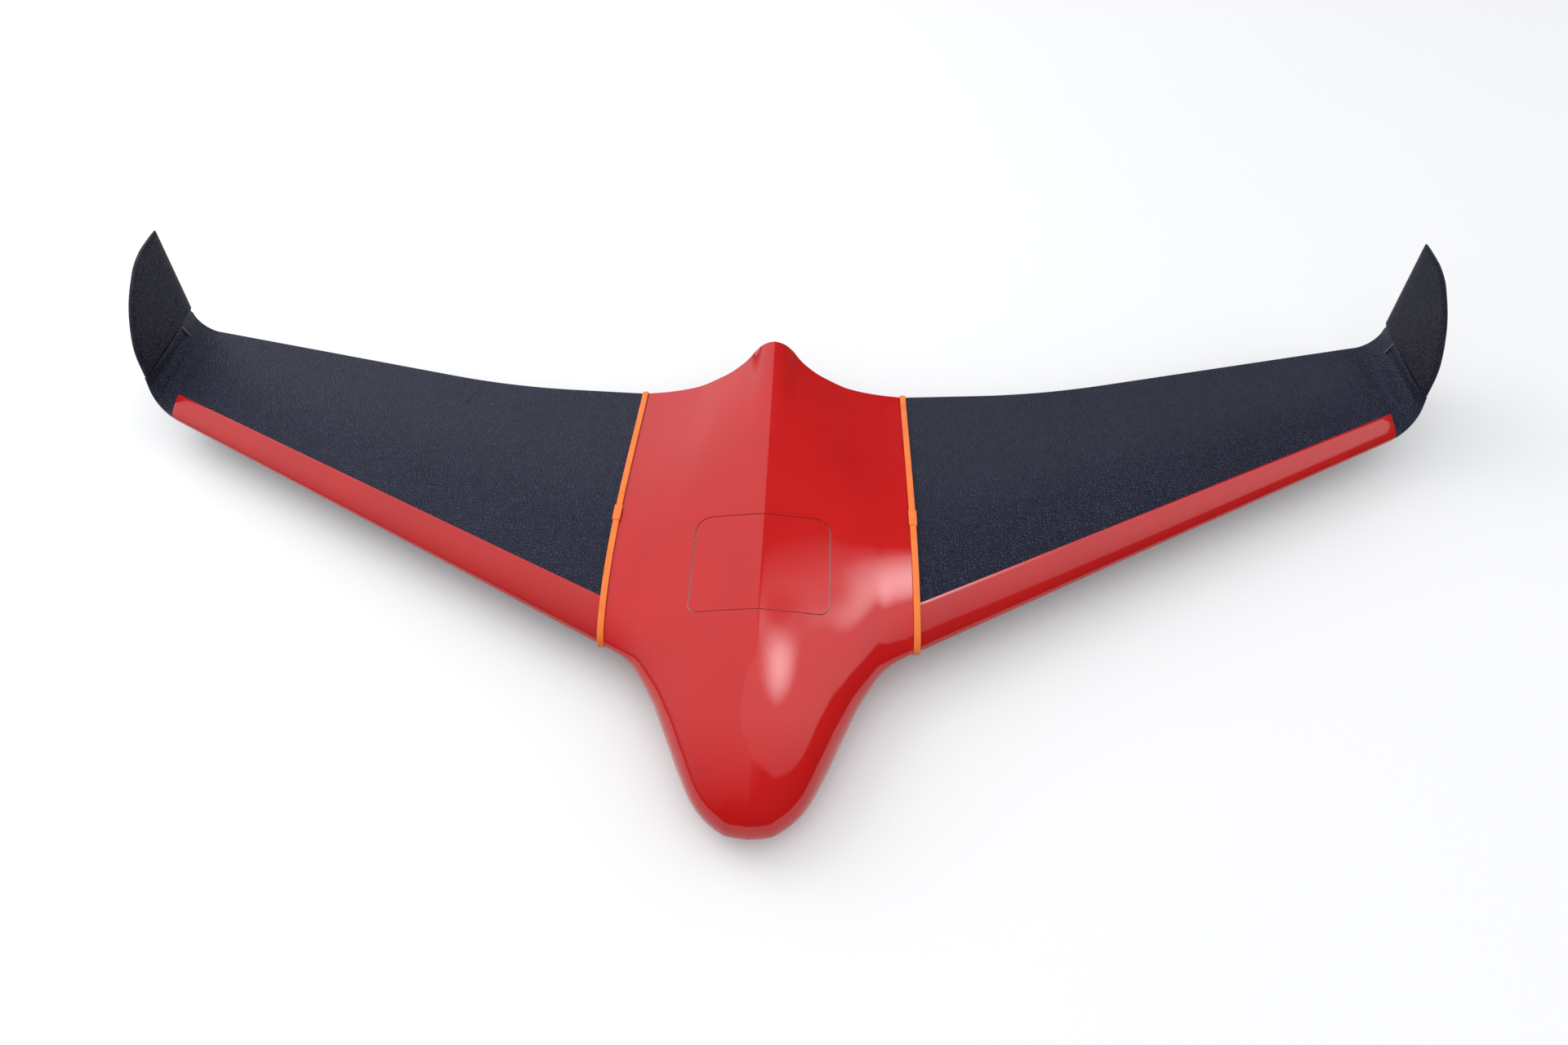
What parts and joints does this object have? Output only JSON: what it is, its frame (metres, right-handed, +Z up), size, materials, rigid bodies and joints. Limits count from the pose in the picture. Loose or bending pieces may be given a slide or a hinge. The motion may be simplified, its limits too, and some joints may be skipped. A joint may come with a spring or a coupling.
{
  "type": "flying wing model aircraft",
  "caption": "Tailless swept flying wing model aircraft: blended body, foam wings with elevons, upturned tips with winglets, and a pusher motor in the tail.",
  "frame": {"origin": "under the middle of the plan outline, level with the flat of the belly", "axes": "+X towards the aircraft's left wing tip, -Y forward through the nose, +Z up"},
  "size_m": [2.1232, 0.9555, 0.2291],
  "materials": {
    "gloss_red": "gloss paint on a glass-fibre shell",
    "lead_red": "gloss plastic cap over the leading edge",
    "navy_foam": "matte moulded bead foam",
    "orange_silicone": "satin silicone",
    "plywood": "bare birch plywood",
    "carbon": "pultruded carbon tube",
    "glass_tube": "clear glass-fibre tube",
    "black_plastic": "moulded nylon",
    "grey_plastic": "moulded case",
    "white_plastic": "moulded case",
    "battery_wrap": "shrink-wrapped cells",
    "strap": "woven strap",
    "lead_wire": "silicone-covered wire",
    "steel": "plain steel",
    "magnet": "nickel plate",
    "aluminium": "machined",
    "copper": "lacquered copper windings on steel plates",
    "anodised": "black anodised"
  },
  "bodies": {
    "airframe": {"autopilot": "grey_plastic", "band_left": "orange_silicone", "band_right": "orange_silicone", "band_sleeve_left": "orange_silicone", "band_sleeve_right": "orange_silicone", "battery_lead": "lead_wire", "battery_pack": "battery_wrap", "battery_straps": "strap", "battery_tray": "plywood", "body_end_rib_left": "plywood", "body_end_rib_right": "plywood", "body_lower_shell": "gloss_red", "body_upper_shell": "gloss_red", "equipment_plate": "plywood", "former_front": "plywood", "former_middle": "plywood", "gps_module": "white_plastic", "hatch_frame": "glass_tube", "hatch_magnets_frame": "magnet", "keel_left": "plywood", "keel_right": "plywood", "leading_edge_cover_left": "lead_red", "leading_edge_cover_right": "lead_red", "motor_firewall": "plywood", "motor_leads": "lead_wire", "motor_mount": "aluminium", "motor_screws": "steel", "motor_stator": "copper", "receiver": "black_plastic", "servo_cover_left": "black_plastic", "servo_cover_right": "black_plastic", "servo_leads": "lead_wire", "servo_left": "black_plastic", "servo_right": "black_plastic", "spar_main": "carbon", "spar_rear": "carbon", "spar_sleeves": "glass_tube", "speed_controller": "grey_plastic", "wing_core_left": "navy_foam", "wing_core_right": "navy_foam", "wing_root_plate_left": "plywood", "wing_root_plate_right": "plywood", "winglet_dowels": "carbon", "winglet_left": "navy_foam", "winglet_right": "navy_foam"},
    "elevon_left": {"elevon_left": "navy_foam", "control_horn_left": "white_plastic"},
    "servo_arm_left": {"servo_arm_left": "white_plastic"},
    "pushrod_left": {"pushrod_left": "steel"},
    "elevon_right": {"elevon_right": "navy_foam", "control_horn_right": "white_plastic"},
    "servo_arm_right": {"servo_arm_right": "white_plastic"},
    "pushrod_right": {"pushrod_right": "steel"},
    "motor_rotor": {"motor_bell": "anodised", "motor_shaft": "steel", "propeller_adapter": "aluminium", "propeller_nut": "aluminium"},
    "hatch": {"hatch_lid": "gloss_red", "hatch_magnets_lid": "magnet"}
  },
  "joints": [
    {"name": "elevon_hinge_left", "type": "hinge", "parent": "airframe", "child": "elevon_left", "pos_m": [0.71788, 0.28498, 0.07577], "axis": [0.9641, 0.2656, -0.0058], "range_deg": [-25, 25]},
    {"name": "servo_horn_left", "type": "hinge", "parent": "airframe", "child": "servo_arm_left", "pos_m": [0.76114, 0.18799, 0.06568], "axis": [0.9641, 0.2656, -0.0058], "range_deg": [-25, 25]},
    {"name": "pushrod_pivot_left", "type": "hinge", "parent": "servo_arm_left", "child": "pushrod_left", "pos_m": [0.761, 0.18795, 0.04168], "axis": [0.9641, 0.2656, -0.0058], "range_deg": [-25, 25]},
    {"name": "elevon_hinge_right", "type": "hinge", "parent": "airframe", "child": "elevon_right", "pos_m": [-0.71788, 0.28498, 0.07577], "axis": [0.9641, -0.2656, 0.0058], "range_deg": [-25, 25]},
    {"name": "servo_horn_right", "type": "hinge", "parent": "airframe", "child": "servo_arm_right", "pos_m": [-0.76114, 0.18799, 0.06568], "axis": [0.9641, -0.2656, 0.0058], "range_deg": [-25, 25]},
    {"name": "pushrod_pivot_right", "type": "hinge", "parent": "servo_arm_right", "child": "pushrod_right", "pos_m": [-0.761, 0.18795, 0.04168], "axis": [0.9641, -0.2656, 0.0058], "range_deg": [-25, 25]},
    {"name": "motor_spin", "type": "hinge", "parent": "airframe", "child": "motor_rotor", "pos_m": [0, 0.29475, 0.1], "axis": [0, 1, 0], "continuous": true},
    {"name": "hatch_lift", "type": "slide", "parent": "airframe", "child": "hatch", "axis": [0, 0, 1], "range_m": [0, 0.08]}
  ],
  "couplings": [
    {"joint": "servo_horn_left", "follows": "elevon_hinge_left", "ratio": 1},
    {"joint": "pushrod_pivot_left", "follows": "elevon_hinge_left", "ratio": -1},
    {"joint": "servo_horn_right", "follows": "elevon_hinge_right", "ratio": 1},
    {"joint": "pushrod_pivot_right", "follows": "elevon_hinge_right", "ratio": -1}
  ]
}
